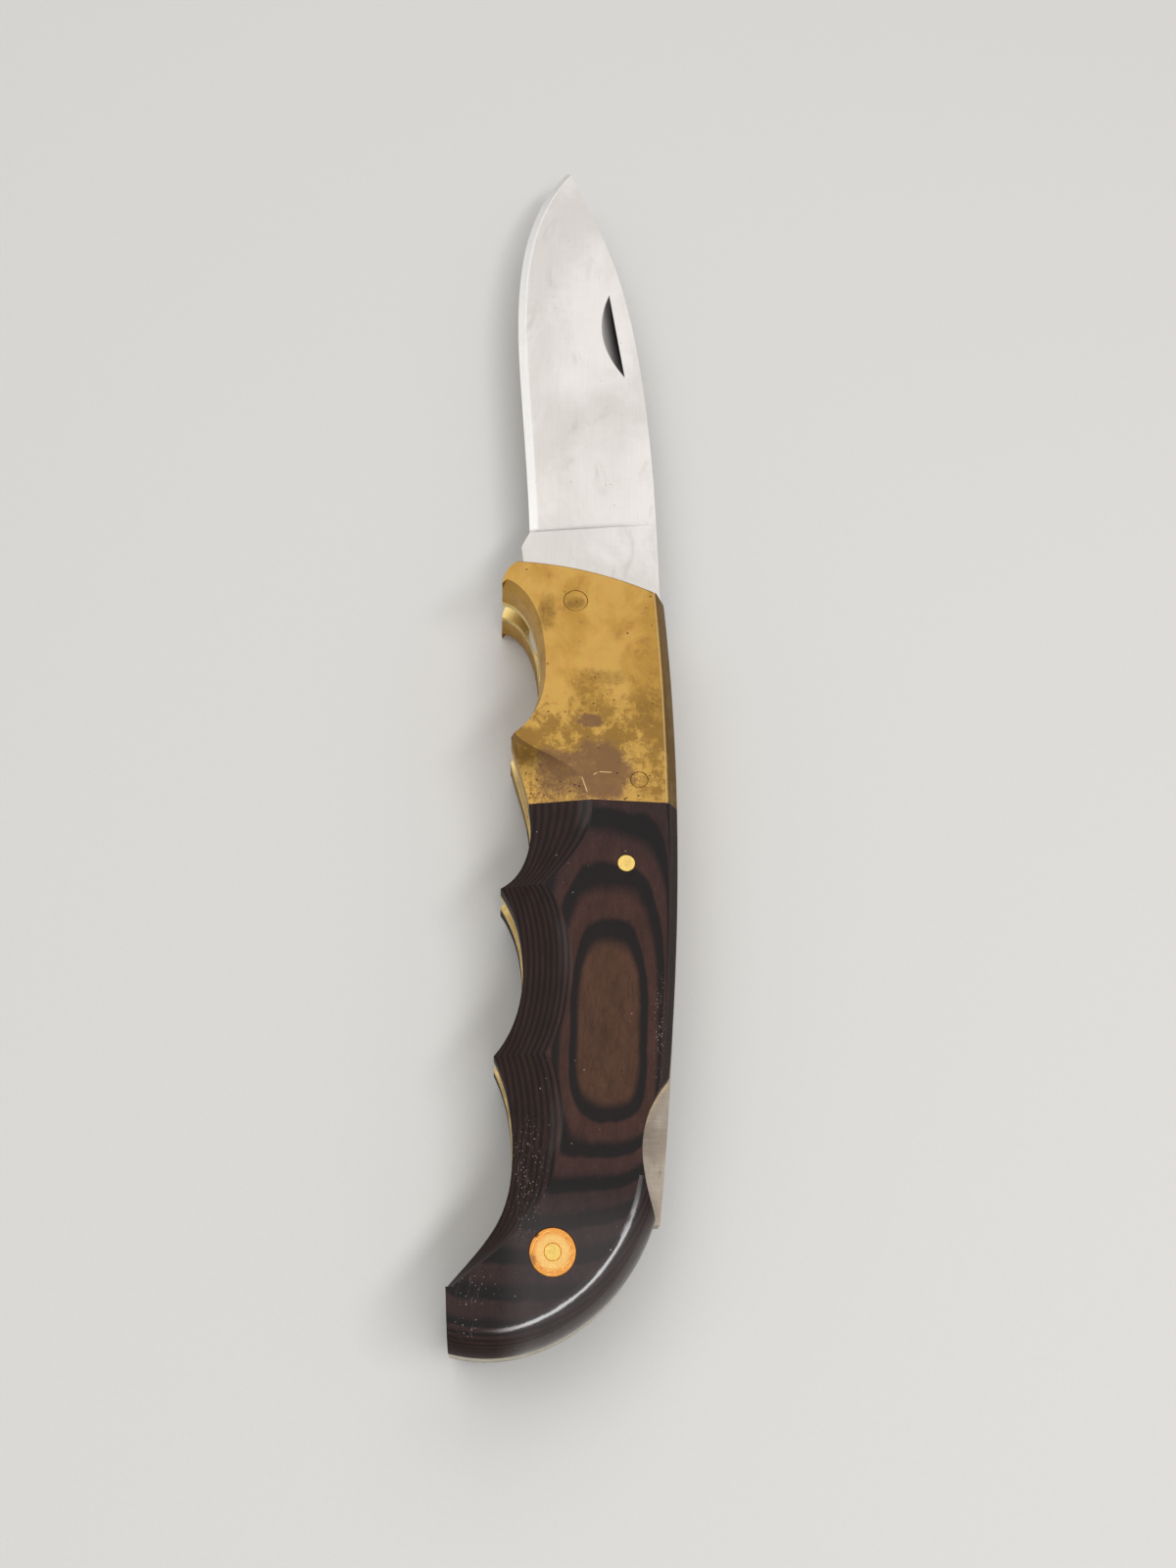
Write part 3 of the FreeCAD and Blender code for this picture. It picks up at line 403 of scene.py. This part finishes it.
def pin_brass(name, centre, colour, tarnished, *nodes):
    """A filed brass pin head: fine marks across it and a darker middle."""
    brass = Finish(name, Metallic=1.0)
    filed = brass.grain((0.09, 2.4, 4), 3.0, 0.6)
    spots = brass.between(brass.grain((0.5, 0.5, 0.5), 5.0, 0.68), 0.54, 0.70)
    middle = brass.spot(centre[0], centre[1], 0.55, 0.55, 0.2, 0.5, 0.8)
    tone = brass.blend(spots * 0.55, colour, tarnished)
    tone = brass.blend(middle * 0.25, tone, tarnished)
    brass.set("Base Color", brass.tinted(tone, 0.88 + filed * 0.2))
    brass.set("Roughness", 0.30 + spots * 0.18 + filed * 0.1)
    brass.set("Normal", brass.relief(filed * 0.6 + spots * 0.4, 0.010))
    brass.cover(*nodes)


def pin_heads():
    """The bright pins in the scales."""
    yellow, golden = rgb(0.95, 0.68, 0.21), rgb(1.0, 0.70, 0.20)
    pin_brass("scale_pin_brass", (7.8, -39.7), yellow, rgb(0.62, 0.36, 0.09), "lock_bar_pin")
    pin_brass("butt_pin_brass", (0.0, -88.6), golden, rgb(0.88, 0.52, 0.14), "butt_pin")


def escutcheon_brass():
    """The butt's inlaid washers: an orange-gold rim round a yellower dished middle."""
    low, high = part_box("butt_escutcheon_mark_side")
    centre, radius = (low + high) / 2 / MM, (high.x - low.x) / 2 / MM
    brass = Finish("escutcheon_brass", Metallic=1.0)
    reach = (((brass.x - centre.x) ** 2.0 + (brass.y - centre.y) ** 2.0) ** 0.5) / radius
    wobble = brass.grain((0.7, 0.7, 0.7), 5.0, 0.62)
    turned = brass.grain((0.25, 0.25, 0.25), 3.0, 0.6)
    rim = brass.between(reach + (wobble - 0.5) * 0.10, 0.60, 0.80)
    groove = brass.band(reach, 0.80, 0.015, 0.04) * brass.between(wobble, 0.40, 0.60)
    nick = brass.spot(centre.x - radius * 0.72, centre.y + radius * 0.66, 0.34, 0.30, 0.5, 0.5, 0.5)
    stain = brass.spot(centre.x - radius * 0.84, centre.y - radius * 0.36, 0.42, 0.70, 0.7, 0.6, 0.5)
    colour = brass.blend(rim, rgb(0.90, 0.55, 0.185), rgb(0.84, 0.37, 0.085))
    colour = brass.blend(brass.between(wobble, 0.52, 0.70) * 0.40, colour, rgb(0.94, 0.68, 0.28))
    colour = brass.blend(groove * 0.6 + stain * 0.7, colour, rgb(0.30, 0.13, 0.06))
    colour = brass.blend(nick * 0.9, colour, BLACKENED)
    brass.set("Base Color", brass.tinted(colour, 0.90 + turned * 0.16))
    brass.set("Roughness", 0.34 + wobble * 0.14 + nick * 0.3)
    dished = brass.relief(1 - groove, 0.03)
    brass.set("Normal", brass.relief(turned * 0.5 + wobble * 0.5, 0.012, dished))
    brass.cover("butt_escutcheon_mark_side", "butt_escutcheon_pile_side")


def washer_bronze():
    """The pivot's bronze washers, with faint turning marks and grease stains."""
    bronze = Finish("washer_bronze", Metallic=1.0)
    lines = bronze.grain((0.2, 0.2, 2), 3.0, 0.6)
    grease = bronze.between(bronze.grain((1.6, 1.6, 1.6), 5.0, 0.6), 0.45, 0.7)
    colour = bronze.blend(grease * 0.7, rgb(0.66, 0.42, 0.20), rgb(0.24, 0.14, 0.07))
    bronze.set("Base Color", bronze.tinted(colour, 0.86 + lines * 0.25))
    bronze.set("Roughness", 0.36 + grease * 0.14)
    bronze.set("Normal", bronze.relief(lines, 0.006))
    bronze.cover("pivot_washer_mark_side", "pivot_washer_pile_side")


# ---------------------------------------------------------------- laminated wood

PLY = 0.42            # thickness of one veneer
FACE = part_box("scale_mark_side")[1].z / MM
FACE_FALLS = -60.0    # behind this the face falls away towards the butt
FACE_BOW = 1800.0     # twice the radius of its fall
SQUARENESS = 3.4      # of the rings: 2 is an oval, more is squarer


def depth_below_face(wood, upper):
    """How far a place has been carved down below the scale's face."""
    depth = FACE - wood.z if upper else wood.z
    sag = (wood.y - FACE_FALLS).least(0.0) ** 2.0 / FACE_BOW
    return (depth - sag).most(0.0)


def veneers(wood, below, eye, reach):
    """The count of veneers from the rings' middle; each whole number is a dark glue line."""
    waver = wood.grain((8, 14, 40), 2.0, 0.5) - 0.5
    ripple = wood.grain((1.5, 2.6, 40), 3.0, 0.55) - 0.5
    sweep = (-74.0 - wood.y).most(0.0) * 0.5
    across = abs(wood.x - eye[0] + sweep) / reach[0]
    ahead = ((wood.y - eye[1]) / reach[1]).most(0.0) ** 0.9
    behind = ((eye[1] - wood.y) / reach[2]).most(0.0) ** 1.2
    ring = (across ** SQUARENESS + ahead ** SQUARENESS + behind ** SQUARENESS) ** (1 / SQUARENESS)
    return (2 * ring - 1 + waver * 0.55 + ripple * 0.14).most(0.35) + below / PLY


def dusty(wood, fibre, dust):
    """Pale grit here and there, and dust held in the grain at the places given."""
    soiled = wood.specks((1.7, 1.7, 1.7), 0.075) * wood.between(wood.grain((6, 6, 6), 3.0, 0.5), 0.46, 0.60)
    for x, y, wide, long in dust:
        area = wood.spot(x, y, wide, long, 0.3, 3.0, 0.6)
        soiled = soiled.most(wood.specks((0.42, 0.42, 0.42), 0.22) * area)
        soiled = soiled.most(wood.between(fibre, 0.56, 0.72) * area * 0.22)
    return soiled


def laminated_wood(name, upper, eye, reach, dust):
    """Dyed veneers pressed together: thin dark lines on the carved sides, broad rings on the face."""
    wood = Finish(name, Coat_Roughness=0.14, Coat_IOR=1.7, Specular_IOR_Level=0.15)
    below = depth_below_face(wood, upper)
    ply = veneers(wood, below, eye, reach)
    part = ply - ply.floor()
    dark = wood.between(part, 0.56, 0.88).most(wood.between(part, 0.26, 0.12))
    carved = wood.between(below, 0.15, 0.9)
    inner = wood.between(ply, 1.15, 0.85)
    outer = wood.between(ply, 1.6, 3.6)
    fibre = wood.grain((0.22, 1.7, 0.22), 4.0, 0.66)
    figure = wood.grain((1.6, 4.5, 2.0), 5.0, 0.62)
    pores = wood.between(wood.grain((0.13, 0.75, 0.13), 2.0, 0.5), 0.64, 0.72)
    flecks = wood.between(wood.grain((0.9, 0.14, 0.14), 2.0, 0.5), 0.66, 0.74)
    brown = wood.blend(inner, rgb(0.050, 0.0200, 0.0145), rgb(0.070, 0.0300, 0.0160))
    brown = wood.blend(outer, brown, rgb(0.030, 0.0145, 0.0140))
    # Painted shade: the carved sides are painted a darker brown than the face, as if they lay in shade.
    brown = wood.blend(carved, brown, rgb(0.029, 0.0145, 0.0120))
    brown = wood.tinted(brown, figure * 1.05 + fibre * 0.85)
    polish = wood.between(wood.y, -80.0, -88.0) * wood.between(wood.x, -7.0, -2.0)
    colour = wood.blend(dark * (0.94 - carved * 0.25 - polish * 0.25), brown, rgb(0.0062, 0.0045, 0.0050))
    colour = wood.blend(pores * 0.45, colour, rgb(0.012, 0.008, 0.008))
    colour = wood.blend(flecks * (1 - dark) * (1 - carved) * 0.22, colour, rgb(0.20, 0.11, 0.06))
    soiled = dusty(wood, fibre, dust)
    colour = wood.blend(soiled * 0.62, colour, rgb(0.42, 0.37, 0.32))
    wood.set("Base Color", colour)
    wood.set("Roughness", 0.50 + fibre * 0.14 + soiled * 0.25 - polish * 0.06)
    wood.set("Coat Weight", (0.08 + polish * 0.80 + figure * 0.08) * (1 - carved * (1 - polish)))
    ridges = wood.relief(1 - dark, 0.012)
    open_grain = wood.relief(1 - pores, 0.018, ridges)
    wood.set("Normal", wood.relief(fibre * 0.5 + figure * 0.5, 0.014, open_grain))
    return wood


def scales():
    """Both scales, each with the middle of its rings, their reach, and where dust has settled."""
    laminated_wood(
        "laminated_wood_upper", True, (5.95, -61.0), (4.45, 12.7, 11.4),
        [(12.3, -62.5, 0.65, 7.0), (-8.6, -93.0, 2.2, 1.6), (-9.6, -97.2, 1.4, 1.0), (-3.4, -80.0, 2.0, 6.0)],
    ).cover("scale_mark_side")
    laminated_wood(
        "laminated_wood_lower", False, (4.6, -57.0), (5.2, 10.4, 13.0),
        [(10.9, -50.0, 0.8, 6.5), (-7.8, -94.6, 2.4, 1.4), (-1.0, -66.0, 1.6, 5.0)],
    ).cover("scale_pile_side")


# ---------------------------------------------------------------- the studio

def floor():
    """A plain pale floor of matt board."""
    wide = 3.0
    sheet = bpy.data.meshes.new("floor")
    corners = [(-wide, -wide, 0), (wide, -wide, 0), (wide, wide, 0), (-wide, wide, 0)]
    sheet.from_pydata(corners, [], [(0, 1, 2, 3)])
    board = bpy.data.objects.new("floor", sheet)
    bpy.context.scene.collection.objects.link(board)
    paper = Finish("floor_board", Roughness=0.85, Specular_IOR_Level=0.2)
    tooth = paper.grain((0.5, 0.5, 0.5), 3.0, 0.6)
    paper.set("Base Color", paper.tinted(rgb(0.66, 0.65, 0.63), 0.97 + tooth * 0.04))
    paper.set("Normal", paper.relief(tooth, 0.02))
    sheet.materials.append(paper.material)


def lamp(name, place, aim, size, power, colour):
    """A rectangular soft box that faces a place."""
    data = bpy.data.lights.new(name, "AREA")
    data.shape = "RECTANGLE"
    data.size, data.size_y = size
    data.energy = power
    data.color = colour
    light = bpy.data.objects.new(name, data)
    bpy.context.scene.collection.objects.link(light)
    light.location = place
    light.rotation_euler = (Vector(aim) - Vector(place)).to_track_quat("-Z", "Y").to_euler()


def studio():
    """Soft boxes over the finger side, the tip and the butt, in a dim even room."""
    bpy.context.scene.view_settings.view_transform = "Standard"
    world = bpy.data.worlds.new("studio")
    bpy.context.scene.world = world
    world.use_nodes = True
    room = world.node_tree.nodes["Background"]
    room.inputs["Color"].default_value = rgb(1.0, 1.0, 1.0)
    room.inputs["Strength"].default_value = 0.44
    lamp("key", (-0.30, 0.16, 0.68), (0.0, -0.02, 0.0), (0.45, 0.45), 1.3, (1.0, 0.985, 0.96))
    lamp("front", (0.08, 0.60, 0.62), (0.0, 0.04, 0.0), (0.80, 0.50), 1.5, (0.98, 0.99, 1.0))
    lamp("strip", (0.21, -0.26, 0.52), (0.0, -0.09, 0.0), (0.60, 0.10), 1.8, (1.0, 1.0, 1.0))


def camera():
    """Looks down along the knife from behind the butt."""
    data = bpy.data.cameras.new("camera")
    data.sensor_fit = "VERTICAL"
    data.sensor_height = 24.0
    data.lens = 22.44
    data.clip_start = 0.01
    view = bpy.data.objects.new("camera", data)
    bpy.context.scene.collection.objects.link(view)
    place, aim = Vector((-0.0053, -0.1122, 0.1918)), Vector((0.0025, -0.0286, 0.0153))
    roll = math.radians(1.67)
    back = (place - aim).normalized()
    side = Vector((0, 1, 0)).cross(back).normalized()
    up = back.cross(side)
    rolled_side = side * math.cos(roll) + up * math.sin(roll)
    rolled_up = up * math.cos(roll) - side * math.sin(roll)
    turn = Matrix((rolled_side, rolled_up, back)).transposed().to_4x4()
    view.matrix_world = Matrix.Translation(place) @ turn
    bpy.context.scene.camera = view


# ---------------------------------------------------------------- run

blade_steel()
back_pieces()
spring_steel()
pin_steel()
bolsters()
liner_brass()
escutcheon_brass()
washer_bronze()
pin_heads()
scales()
floor()
studio()
camera()
